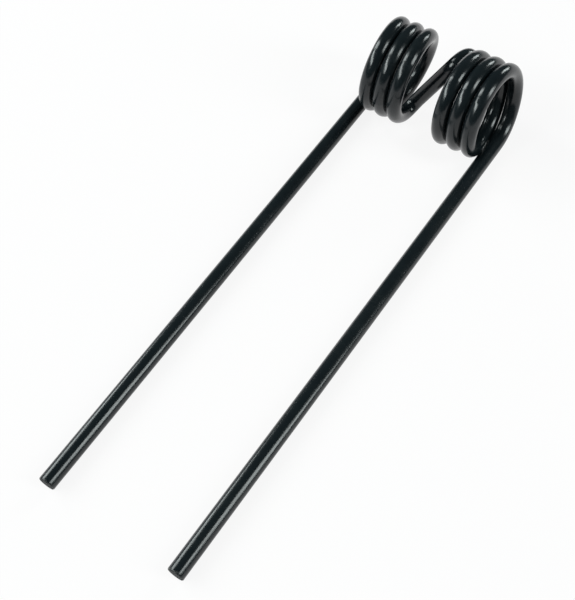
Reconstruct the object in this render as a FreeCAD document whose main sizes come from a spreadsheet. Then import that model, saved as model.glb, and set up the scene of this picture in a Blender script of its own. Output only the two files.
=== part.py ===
import FreeCAD, Part
import math
import os

from FreeCAD import Vector

# Pick-up tine of a baler: one length of round spring wire.
# Two straight legs end in two mirror-image coils, and a short bridge joins
# the coils. The tine lies on its legs: X runs along the axis of the coils,
# the tips of the legs point to -Y, and Z is up.

doc = FreeCAD.newDocument("PickupTine")

# Driving dimensions, in millimetres, degrees and turns
DIMENSIONS = (
    ("wire_diameter", 5.5, "spring wire, round"),
    ("coil_bore", 24.2, "clear diameter inside the turns"),
    ("turn_gap", 0.2, "clear distance between neighbouring turns"),
    ("turn_lean", 5.2, "tilt of the turns towards the middle at the top, degrees"),
    ("left_turns", 2.94, "turns from the left leg to the bridge"),
    ("right_turns", 3.31, "turns from the right leg to the bridge"),
    ("leg_length", 187.0, "from the axis of the coils to the tip"),
    ("leg_toe_in", 0.6, "turn of each leg towards the middle, degrees"),
    ("root_blend", 45.0, "part of the first turn that eases into the pitch, degrees"),
    ("bridge_width", 14.6, "step along the axis from one coil to the other"),
    ("bridge_bend_radius", 4.8, "bend at each end of the bridge, on the wire's centre line"),
    ("tip_chamfer", 0.25, "broken edge of the cut ends"),
)

sheet = doc.addObject("Spreadsheet::Sheet", "Dimensions")
for row, (name, number, meaning) in enumerate(DIMENSIONS, start=1):
    sheet.set(f"A{row}", name)
    sheet.set(f"B{row}", str(number))
    sheet.set(f"C{row}", meaning)
    sheet.setAlias(f"B{row}", name)
doc.recompute()

FULL_TURN = 2 * math.pi
LONGEST_SPAN = math.radians(90)
LEFT = -1
RIGHT = 1

wire_radius = sheet.wire_diameter / 2
mean_radius = (sheet.coil_bore + sheet.wire_diameter) / 2
turn_pitch = sheet.wire_diameter + sheet.turn_gap
lean_slope = math.tan(math.radians(sheet.turn_lean))
toe_slope = math.tan(math.radians(sheet.leg_toe_in))
blend_angle = math.radians(sheet.root_blend)
coil_angle = {LEFT: sheet.left_turns * FULL_TURN, RIGHT: sheet.right_turns * FULL_TURN}

# The legs lie on the ground, so the axis of the coils is one outer radius up.
# The middle of the tine's length is over the origin.
axis_height = mean_radius + wire_radius
axis_setback = (sheet.leg_length - axis_height) / 2


# Coils. Seen along the axis each turn is a circle. Its angle is zero under the
# axis, where the leg runs in, and grows up the back and over the top.

pitch_per_radian = turn_pitch / FULL_TURN
blend_offset = blend_angle * (pitch_per_radian + mean_radius * toe_slope) / 2


def inward_travel(angle):
    """How far the wire has moved from its leg towards the middle."""
    remaining = max(0.0, 1 - angle / blend_angle)
    lean = lean_slope * mean_radius * (1 - math.cos(angle))
    return pitch_per_radian * angle + lean - blend_offset * (1 - remaining ** 2)


def inward_slope(angle):
    """Travel towards the middle for each millimetre round the turn."""
    remaining = max(0.0, 1 - angle / blend_angle)
    blend_rate = 2 * blend_offset * remaining / blend_angle
    return (pitch_per_radian - blend_rate) / mean_radius + lean_slope * math.sin(angle)


coils_width = inward_travel(coil_angle[LEFT]) + inward_travel(coil_angle[RIGHT])
root_reach = (coils_width + sheet.bridge_width) / 2


def ring_point(across, radius, angle, centre):
    """A point on a circle round an axis along X."""
    along = axis_setback + centre[0] + radius * math.sin(angle)
    up = axis_height + centre[1] - radius * math.cos(angle)
    return Vector(across, along, up)


def coil_station(side, angle):
    """Place and heading of the wire at an angle of a coil, going away from its leg."""
    across = side * (root_reach - inward_travel(angle))
    heading = Vector(-side * inward_slope(angle), math.cos(angle), math.sin(angle))
    return ring_point(across, mean_radius, angle, (0.0, 0.0)), heading.normalize()


# Bridge. Seen along the axis it is a straight line tangent to two bends, which
# curl on from the coils on a smaller radius, one under it and one over it.

bend_radius = float(sheet.bridge_bend_radius)
bend_orbit = mean_radius - bend_radius
bend_centre = {}
for side in (LEFT, RIGHT):
    along = bend_orbit * math.sin(coil_angle[side])
    up = -bend_orbit * math.cos(coil_angle[side])
    bend_centre[side] = (along, up)

centres_along = bend_centre[RIGHT][0] - bend_centre[LEFT][0]
centres_up = bend_centre[RIGHT][1] - bend_centre[LEFT][1]
centre_distance = math.hypot(centres_along, centres_up)
straight_length = math.sqrt(centre_distance ** 2 - (2 * bend_radius) ** 2)
straight_heading = math.atan2(centres_up, centres_along)
straight_heading += math.asin(2 * bend_radius / centre_distance)
bend_sweep = {
    LEFT: (straight_heading - coil_angle[LEFT]) % FULL_TURN,
    RIGHT: (straight_heading + math.pi - coil_angle[RIGHT]) % FULL_TURN,
}

# The step across grows along each bend and is even along the straight.
coil_slope = {side: inward_slope(coil_angle[side]) for side in (LEFT, RIGHT)}
half_bend = {side: bend_radius * bend_sweep[side] / 2 for side in (LEFT, RIGHT)}
step_from_coils = sum(coil_slope[side] * half_bend[side] for side in (LEFT, RIGHT))
bridge_run = half_bend[LEFT] + half_bend[RIGHT] + straight_length
straight_slope = (sheet.bridge_width - step_from_coils) / bridge_run


def bend_station(side, share):
    """Place and heading on a bend, from the coil at 0 to the straight at 1."""
    angle = coil_angle[side] + share * bend_sweep[side]
    slope = coil_slope[side] + share * (straight_slope - coil_slope[side])
    step = half_bend[side] * share * (coil_slope[side] + slope)
    across = side * (root_reach - inward_travel(coil_angle[side]) - step)
    heading = Vector(-side * slope, math.cos(angle), math.sin(angle))
    return ring_point(across, bend_radius, angle, bend_centre[side]), heading.normalize()


# Curved stretches are bent as circular arcs that meet with one heading.


def arc_edge(start, heading, end):
    """Arc that leaves a point along a heading and ends at another point."""
    chord = end - start
    forward = Vector(chord).normalize()
    outward = (heading - forward * heading.dot(forward)).normalize()
    crown = chord.Length / 2 * math.tan(heading.getAngle(forward) / 2)
    return Part.Arc(start, start + chord / 2 + outward * crown, end).toShape()


def span_edges(start, end):
    """Two arcs from one station to the next, with equal tangents at both ends."""
    (start_point, start_heading), (end_point, end_heading) = start, end
    chord = end_point - start_point
    bend = 2 * (1 - start_heading.dot(end_heading))
    ahead = chord.dot(start_heading + end_heading)
    tangent = (math.sqrt(ahead ** 2 + bend * chord.dot(chord)) - ahead) / bend
    start_corner = start_point + start_heading * tangent
    end_corner = end_point - end_heading * tangent
    middle = (start_corner + end_corner) / 2
    middle_heading = (end_corner - start_corner).normalize()
    return [arc_edge(start_point, start_heading, middle), arc_edge(middle, middle_heading, end_point)]


def curved_edges(stations):
    edges = []
    for start, end in zip(stations, stations[1:]):
        edges += span_edges(start, end)
    return edges


def coil_edges(side):
    turning = coil_angle[side] - blend_angle
    count = math.ceil(turning / LONGEST_SPAN)
    angles = [0.0] + [blend_angle + turning * number / count for number in range(count + 1)]
    return curved_edges([coil_station(side, angle) for angle in angles])


def bend_edges(side):
    count = math.ceil(bend_sweep[side] / LONGEST_SPAN)
    return curved_edges([bend_station(side, number / count) for number in range(count + 1)])


def leg_edge(side):
    root, heading = coil_station(side, 0.0)
    return Part.LineSegment(root - heading * sheet.leg_length, root).toShape()


def straight_edge():
    start = bend_station(LEFT, 1.0)[0]
    end = bend_station(RIGHT, 1.0)[0]
    return Part.LineSegment(start, end).toShape()


def half_path(side):
    """Edges from the tip of a leg to the straight part of the bridge."""
    return [leg_edge(side)] + coil_edges(side) + bend_edges(side)


# Centre line of the wire, from the left tip to the right tip
centre_line = doc.addObject("Part::Feature", "CentreLine")
centre_line.Label = "centre_line"
centre_line.Shape = Part.Wire(half_path(LEFT) + [straight_edge()] + half_path(RIGHT)[::-1])

# Round section of the wire, square to the left leg at its tip
left_tip = leg_edge(LEFT).Vertexes[0].Point
left_heading = coil_station(LEFT, 0.0)[1]
section = doc.addObject("Part::Circle", "WireSection")
section.Label = "wire_section"
section.setExpression("Radius", "Dimensions.wire_diameter / 2")
section.Placement = FreeCAD.Placement(left_tip, FreeCAD.Rotation(Vector(0, 0, 1), left_heading))

drawn_wire = doc.addObject("Part::Sweep", "DrawnWire")
drawn_wire.Label = "drawn_wire"
drawn_wire.Sections = [section]
drawn_wire.Spine = (centre_line, [])
drawn_wire.Solid = True
drawn_wire.Frenet = False
doc.recompute()

# The tips are cut off square, and the edge of each cut is broken.


def tip_edge_numbers(shape):
    """Numbers of the round edges at the two tips."""
    numbers = []
    for number, edge in enumerate(shape.Edges, start=1):
        at_tip = edge.BoundBox.YMax < left_tip.y + wire_radius
        if at_tip and edge.isClosed():
            numbers.append(number)
    return numbers


tine = doc.addObject("Part::Chamfer", "Tine")
tine.Label = "tine"
tine.Base = drawn_wire
chamfer = float(sheet.tip_chamfer)
tine.Edges = [(number, chamfer, chamfer) for number in tip_edge_numbers(drawn_wire.Shape)]
doc.recompute()

# Checks
for item in doc.Objects:
    if "Invalid" in item.State or "Error" in item.State:
        raise RuntimeError(f"{item.Label} failed: {item.State}")
if tine.Shape.isNull() or not tine.Shape.isValid():
    raise RuntimeError("the tine is not a valid solid")

expected_volume = math.pi * wire_radius ** 2 * centre_line.Shape.Length
print(f"wire length {centre_line.Shape.Length:.2f} mm")
print(f"volume {tine.Shape.Volume:.1f} mm3, section times length {expected_volume:.1f} mm3")

os.makedirs("parts", exist_ok=True)
tine.Shape.exportStep(os.path.join("parts", tine.Label + ".step"))
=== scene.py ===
import math

import bpy
from mathutils import Matrix, Vector


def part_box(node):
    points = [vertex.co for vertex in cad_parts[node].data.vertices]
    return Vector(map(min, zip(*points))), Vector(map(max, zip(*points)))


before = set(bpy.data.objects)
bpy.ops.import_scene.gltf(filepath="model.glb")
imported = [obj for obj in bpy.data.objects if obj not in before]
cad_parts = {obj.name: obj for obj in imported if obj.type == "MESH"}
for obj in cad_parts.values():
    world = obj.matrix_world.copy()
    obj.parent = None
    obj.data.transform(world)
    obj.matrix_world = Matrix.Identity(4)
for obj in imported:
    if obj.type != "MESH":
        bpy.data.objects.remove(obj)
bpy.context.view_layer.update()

# Pick-up tine. One length of round spring wire, wound into two mirror-image
# coils with a straight leg running out of each, and coated all over with gloss
# black paint after winding. Its solid comes from the CAD model as it is.

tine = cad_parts["tine"]
tine_low, tine_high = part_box("tine")

MM = 0.001
WIRE_DIAMETER = 5.5 * MM
coil_radius = (tine_high.z - tine_low.z) / 2
coil_axis = Vector((0.0, tine_high.y - coil_radius, coil_radius))
tip_end = tine_low.y


class Socket:
    """An output of a shader node. Arithmetic on it adds Math nodes after it."""

    def __init__(self, shader, output):
        self.shader = shader
        self.output = output

    def math(self, operation, *values):
        sockets = dict(enumerate(values))
        return self.shader.node("Math", {"operation": operation}, sockets)

    def __add__(self, other):
        return self.math("ADD", self, other)

    def __radd__(self, other):
        return self.math("ADD", other, self)

    def __sub__(self, other):
        return self.math("SUBTRACT", self, other)

    def __rsub__(self, other):
        return self.math("SUBTRACT", other, self)

    def __mul__(self, other):
        return self.math("MULTIPLY", self, other)

    def __rmul__(self, other):
        return self.math("MULTIPLY", other, self)

    def __pow__(self, other):
        return self.math("POWER", self, other)

    def __rpow__(self, other):
        return self.math("POWER", other, self)

    def __lt__(self, other):
        return self.math("LESS_THAN", self, other)

    def __gt__(self, other):
        return self.math("GREATER_THAN", self, other)

    def __neg__(self):
        return self.math("MULTIPLY", self, -1.0)


class Shader:
    """The nodes of one material or world."""

    def __init__(self, owner):
        owner.use_nodes = True
        self.tree = owner.node_tree
        self.tree.nodes.clear()

    def node(self, kind, settings=None, sockets=None, output=0):
        """Adds a node: its settings first, then the values or links of its sockets."""
        node = self.tree.nodes.new("ShaderNode" + kind)
        for name, setting in (settings or {}).items():
            setattr(node, name, setting)
        for name, value in (sockets or {}).items():
            if isinstance(value, Socket):
                self.tree.links.new(value.output, node.inputs[name])
            else:
                node.inputs[name].default_value = value
        return Socket(self, node.outputs[output] if node.outputs else None)

    def noise(self, place, size, detail=2.0, roughness=0.5):
        """Soft random value from 0 to 1, with patches of a size in metres."""
        sockets = {"Vector": place, "Scale": 1 / size, "Detail": detail, "Roughness": roughness}
        return self.node("TexNoise", sockets=sockets)

    def between(self, value, low, high):
        """0 below one value, 1 above another, and a smooth rise from one to the other."""
        settings = {"interpolation_type": "SMOOTHSTEP"}
        sockets = {"Value": value, "From Min": low, "From Max": high}
        return self.node("MapRange", settings, sockets)

    def mix_colour(self, share, first, second):
        """Blend of two colours. The node's sockets share their names, so they go by number."""
        return self.node("Mix", {"data_type": "RGBA"}, {0: share, 6: first, 7: second}, output=2)

    def bump(self, height, depth, below):
        """Surface relief, with a depth in metres, on top of another relief."""
        return self.node("Bump", sockets={"Height": height, "Distance": depth, "Normal": below})


black_paint = bpy.data.materials.new("gloss_black_paint")
paint = Shader(black_paint)
place = paint.node("TexCoord", output="Object")
across = paint.node("SeparateXYZ", sockets={"Vector": place}, output="X")
along = paint.node("SeparateXYZ", sockets={"Vector": place}, output="Y")
up = paint.node("SeparateXYZ", sockets={"Vector": place}, output="Z")

# The drawing die leaves faint lines along the wire. They follow the legs
# straight and the coils round their axis.
LEG_TOP = 1.1 * WIRE_DIAMETER
behind_axis = along - coil_axis.y
above_axis = up - coil_axis.z
orbit = (behind_axis * behind_axis + above_axis * above_axis) ** 0.5
on_leg = (behind_axis < 0.0) * (up < LEG_TOP)
outward = on_leg * -above_axis + (1 - on_leg) * orbit
wire_section = paint.node("CombineXYZ", sockets={"X": across, "Y": outward})
die_lines = paint.noise(wire_section, size=0.35 * MM, detail=3.0, roughness=0.6)
line_patches = paint.between(paint.noise(place, size=9 * MM), low=0.42, high=0.62)

# Sprayed gloss paint dries with a fine orange peel, flows thicker in places,
# and catches specks of dust.
orange_peel = paint.noise(place, size=0.7 * MM)
paint_flow = paint.noise(place, size=4.0 * MM, detail=1.0)
speck_noise = paint.noise(place, size=0.45 * MM, detail=0.0)
specks = paint.between(speck_noise, low=0.76, high=0.84)

# Handling leaves dull smudges and a thin film of dust.
smudge_noise = paint.noise(place, size=14 * MM, detail=4.0, roughness=0.62)
smudges = paint.between(smudge_noise, low=0.46, high=0.66)
dust_noise = paint.noise(place, size=0.9 * MM, detail=5.0, roughness=0.7)
dust_grain = paint.between(dust_noise, low=0.4, high=0.8)

# The two cut ends are dull, and the paint is rubbed thin on their rims.
CUT_DEPTH = 0.1 * MM
RIM_START = 0.2 * MM
RIM_END = 1.1 * MM
on_cut = along < tip_end + CUT_DEPTH
near_tip = 1 - paint.between(along, low=tip_end + RIM_START, high=tip_end + RIM_END)
rub_noise = paint.noise(place, size=0.8 * MM, detail=4.0)
rubbed = near_tip * paint.between(rub_noise, low=0.45, high=0.62)

PAINT_BLACK = (0.0050, 0.0078, 0.0096, 1.0)
PAINT_THIN = (0.0090, 0.0132, 0.0155, 1.0)
DUST_GREY = (0.0550, 0.0560, 0.0540, 1.0)
WORN_STEEL = (0.1500, 0.1450, 0.1350, 1.0)
DUST_COVER = 0.16
RUB_COVER = 0.3
GLOSS_ROUGHNESS = 0.17

paint_shade = paint.mix_colour(paint_flow, PAINT_BLACK, PAINT_THIN)
dusty_shade = paint.mix_colour(smudges * dust_grain * DUST_COVER, paint_shade, DUST_GREY)
worn_shade = paint.mix_colour(rubbed * RUB_COVER, dusty_shade, WORN_STEEL)
roughness = GLOSS_ROUGHNESS + 0.05 * smudges + 0.04 * dust_grain + 0.2 * rubbed + 0.5 * on_cut

# Thick paint rounds the surface over about a millimetre. This also evens out
# the shading where two faces of the mesh meet.
rounded = paint.node("Bevel", {"samples": 8}, {"Radius": 0.9 * MM})
relief = paint.bump(paint_flow, depth=0.015 * MM, below=rounded)
relief = paint.bump(die_lines * line_patches, depth=0.002 * MM, below=relief)
relief = paint.bump(orange_peel, depth=0.0025 * MM, below=relief)
relief = paint.bump(specks, depth=0.010 * MM, below=relief)

coat = paint.node("BsdfPrincipled", sockets={
    "Base Color": worn_shade,
    "Roughness": roughness,
    "Metallic": 0.0,
    "IOR": 1.45,
    "Normal": relief,
})
paint.node("OutputMaterial", sockets={"Surface": coat})
for material_slot in tine.material_slots:
    material_slot.material = black_paint

# Floor. A large sheet of matt white paper that the tine lies on. It fills the
# camera's view and keeps the soft shadow of the wire.

FLOOR_HALF = 20.0
floor_mesh = bpy.data.meshes.new("floor")
floor_corners = [
    (-FLOOR_HALF, -FLOOR_HALF, 0.0),
    (FLOOR_HALF, -FLOOR_HALF, 0.0),
    (FLOOR_HALF, FLOOR_HALF, 0.0),
    (-FLOOR_HALF, FLOOR_HALF, 0.0),
]
floor_mesh.from_pydata(floor_corners, [], [(0, 1, 2, 3)])
floor = bpy.data.objects.new("floor", floor_mesh)
bpy.context.scene.collection.objects.link(floor)

# The lit paper is a little redder than white, which evens out the cool tint of
# the lamps. The camera and reflections see it mostly as plain white.
LIT_WHITE = (0.98, 0.92, 0.925, 1.0)
PLAIN_WHITE = (1.0, 1.0, 1.0, 1.0)
PLAIN_WHITE_SHARE = 0.88

floor_paper = bpy.data.materials.new("white_paper")
paper = Shader(floor_paper)
camera_ray = paper.node("LightPath", output="Is Camera Ray")
glossy_ray = paper.node("LightPath", output="Is Glossy Ray")
transmission_ray = paper.node("LightPath", output="Is Transmission Ray")
seen_directly = camera_ray.math("MAXIMUM", camera_ray, glossy_ray)
seen_directly = camera_ray.math("MAXIMUM", seen_directly, transmission_ray)
lit_paper = paper.node("BsdfDiffuse", sockets={"Color": LIT_WHITE})
plain_paper = paper.node("Emission", sockets={"Color": PLAIN_WHITE, "Strength": 1.0})
plain_share = seen_directly * PLAIN_WHITE_SHARE
seen_paper = paper.node("MixShader", sockets={0: plain_share, 1: lit_paper, 2: plain_paper})
paper.node("OutputMaterial", sockets={"Surface": seen_paper})
floor_mesh.materials.append(floor_paper)

# Studio. A dim room with four soft lamps round the tine: a small one low behind
# the coils, a tall strip on each side and a long level one far to the left.

ROOM_GREY = (0.060, 0.078, 0.080, 1.0)
LAMP_COLOUR = (0.92, 1.0, 0.99)
LAMP_DISTANCE = 1.6
room = bpy.data.worlds.new("dim_room")
bpy.context.scene.world = room
walls = Shader(room)
room_light = walls.node("Background", sockets={"Color": ROOM_GREY, "Strength": 1.0})
walls.node("OutputWorld", sockets={"Surface": room_light})


def soft_lamp(name, bearing, height, lean, width, tall, brightness):
    """Lamp that faces the coils, at a bearing clockwise from +Y and a height above the floor.

    Bearing, height and lean are in degrees, and width and tall in metres."""
    bearing = math.radians(bearing)
    height = math.radians(height)
    level = math.cos(height)
    direction = Vector((math.sin(bearing) * level, math.cos(bearing) * level, math.sin(height)))
    lamp = bpy.data.lights.new(name, "AREA")
    lamp.shape = "RECTANGLE"
    lamp.size = width
    lamp.size_y = tall
    lamp.energy = brightness * math.pi * width * tall
    lamp.color = LAMP_COLOUR
    holder = bpy.data.objects.new(name, lamp)
    upright = direction.to_track_quat("Z", "Y").to_matrix().to_4x4()
    leaning = upright @ Matrix.Rotation(math.radians(lean), 4, "Z")
    holder.matrix_world = Matrix.Translation(coil_axis + direction * LAMP_DISTANCE) @ leaning
    bpy.context.scene.collection.objects.link(holder)


soft_lamp("back_lamp", bearing=16, height=22, lean=0, width=0.36, tall=0.6, brightness=10)
soft_lamp("right_strip", bearing=80, height=31, lean=15, width=0.42, tall=1.0, brightness=9.5)
soft_lamp("left_strip", bearing=-88, height=32, lean=-22, width=0.30, tall=1.2, brightness=9)
soft_lamp("far_left_lamp", bearing=-130, height=33, lean=12, width=1.8, tall=0.30, brightness=12)

# Camera. It looks down on the tine from the side of the tips, a little from the
# right, and is tilted slightly round its own axis.

CAMERA_BEARING = math.radians(35.63)
CAMERA_HEIGHT = math.radians(58.19)
CAMERA_TILT = math.radians(-1.99)
CAMERA_DISTANCE = 283.5 * MM
AIM_POINT = Vector((5.18, -18.74, 17.60)) * MM
SENSOR_WIDTH = 36.0
FOCAL_LENGTH = 55.4
NEAREST_SEEN = 10 * MM

camera_level = math.cos(CAMERA_HEIGHT)
to_camera = Vector((
    math.sin(CAMERA_BEARING) * camera_level,
    -math.cos(CAMERA_BEARING) * camera_level,
    math.sin(CAMERA_HEIGHT),
))
lens = bpy.data.cameras.new("camera")
lens.sensor_width = SENSOR_WIDTH
lens.lens = FOCAL_LENGTH
lens.clip_start = NEAREST_SEEN
camera = bpy.data.objects.new("camera", lens)
bpy.context.scene.collection.objects.link(camera)
facing = to_camera.to_track_quat("Z", "Y").to_matrix().to_4x4()
tilted = facing @ Matrix.Rotation(CAMERA_TILT, 4, "Z")
camera.matrix_world = Matrix.Translation(AIM_POINT + to_camera * CAMERA_DISTANCE) @ tilted
bpy.context.scene.camera = camera
bpy.context.scene.view_settings.view_transform = "Standard"
